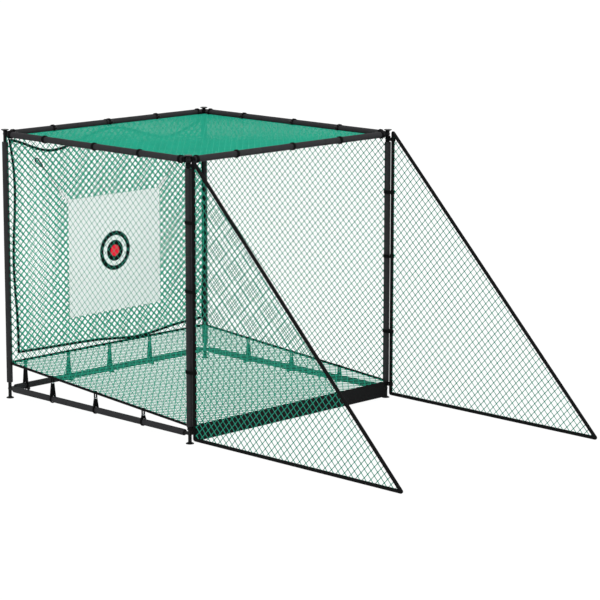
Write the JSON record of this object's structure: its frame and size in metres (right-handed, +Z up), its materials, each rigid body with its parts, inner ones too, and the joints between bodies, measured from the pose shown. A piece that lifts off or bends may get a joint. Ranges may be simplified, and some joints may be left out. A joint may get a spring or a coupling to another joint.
{
  "type": "golf practice cage net",
  "caption": "Walk-in golf practice cage: a foam-padded tube frame with roof, side, back and sloped floor nets, swinging side wings, and an impact net with a bullseye target.",
  "frame": {"origin": "on the ground, under the middle of the whole object, which is midway between the two front posts' axes", "axes": "+X to the right seen from the front, +Y to the back of the cage, +Z up"},
  "size_m": [2.1776, 4.2199, 2.13],
  "materials": {
    "zinc_steel": "satin",
    "black_foam": "matte",
    "black_plastic": "matte",
    "green_net": "matte",
    "black_rope": "matte",
    "black_canvas": "matte",
    "white_cloth": "matte",
    "white_webbing": "matte",
    "black_elastic": "matte",
    "black_steel": "satin",
    "black_ball_plastic": "gloss"
  },
  "bodies": {
    "cage": {"front_left_post_tube": "zinc_steel", "front_right_post_tube": "zinc_steel", "back_left_post_tube": "zinc_steel", "back_right_post_tube": "zinc_steel", "bottom_front_bar_tube": "zinc_steel", "bottom_back_bar_tube": "zinc_steel", "top_front_bar_tube": "zinc_steel", "top_back_bar_tube": "zinc_steel", "bottom_left_bar_tube": "zinc_steel", "bottom_right_bar_tube": "zinc_steel", "top_left_bar_tube": "zinc_steel", "top_right_bar_tube": "zinc_steel", "front_left_post_sleeve": "black_foam", "front_right_post_sleeve": "black_foam", "back_left_post_sleeve": "black_foam", "back_right_post_sleeve": "black_foam", "bottom_front_bar_sleeve": "black_foam", "bottom_back_bar_sleeve": "black_foam", "top_front_bar_sleeve": "black_foam", "top_back_bar_sleeve": "black_foam", "bottom_left_bar_sleeve": "black_foam", "bottom_right_bar_sleeve": "black_foam", "top_left_bar_sleeve": "black_foam", "top_right_bar_sleeve": "black_foam", "corner_bottom_front_left": "black_plastic", "corner_bottom_front_right": "black_plastic", "corner_bottom_back_left": "black_plastic", "corner_bottom_back_right": "black_plastic", "corner_top_front_left": "black_plastic", "corner_top_front_right": "black_plastic", "corner_top_back_left": "black_plastic", "corner_top_back_right": "black_plastic", "roof_net": "green_net", "left_net": "green_net", "right_net": "green_net", "back_net": "green_net", "floor_net": "green_net", "floor_net_rope": "black_rope", "front_band": "black_canvas", "impact_net_loops": "black_elastic", "top_bungee_loops": "black_elastic", "top_bungee_balls": "black_ball_plastic", "post_bungee_loops": "black_elastic", "post_bungee_balls": "black_ball_plastic", "floor_bungee_loops": "black_elastic", "floor_bungee_balls": "black_ball_plastic"},
    "left_wing": {"left_wing_net": "green_net", "left_wing_border": "black_rope"},
    "right_wing": {"right_wing_net": "green_net", "right_wing_border": "black_rope"},
    "impact_net_body": {"impact_net": "green_net", "impact_net_rope": "black_rope"},
    "target": {"target_cloth": "white_cloth", "target_tabs": "white_webbing", "left_target_cord": "black_elastic", "right_target_cord": "black_elastic", "left_snap_hook": "black_steel", "right_snap_hook": "black_steel"},
    "left_gate": {"left_hook_gate": "zinc_steel"},
    "right_gate": {"right_hook_gate": "zinc_steel"}
  },
  "joints": [
    {"name": "left_wing_swing", "type": "hinge", "parent": "cage", "child": "left_wing", "pos_m": [-1.056, -0.054, 1.07], "axis": [0, 0, 1], "range_deg": [-90, 30]},
    {"name": "right_wing_swing", "type": "hinge", "parent": "cage", "child": "right_wing", "pos_m": [1.056, -0.054, 1.07], "axis": [0, 0, 1], "range_deg": [-30, 90]},
    {"name": "impact_net_swing", "type": "hinge", "parent": "cage", "child": "impact_net_body", "pos_m": [0, 2.045, 2.052], "axis": [-1, 0, 0], "range_deg": [-0.8, 25]},
    {"name": "target_swing", "type": "hinge", "parent": "impact_net_body", "child": "target", "pos_m": [0.024, 2.0396, 1.88486], "axis": [-1, 0, 0], "range_deg": [0, 45]},
    {"name": "left_gate_open", "type": "hinge", "parent": "target", "child": "left_gate", "pos_m": [-0.7395, 2.0396, 1.81566], "axis": [0, 1, 0], "range_deg": [0, 20], "stiffness_Nm_per_rad": 0.05},
    {"name": "right_gate_open", "type": "hinge", "parent": "target", "child": "right_gate", "pos_m": [0.7875, 2.0396, 1.81566], "axis": [0, -1, 0], "range_deg": [0, 20], "stiffness_Nm_per_rad": 0.05}
  ]
}
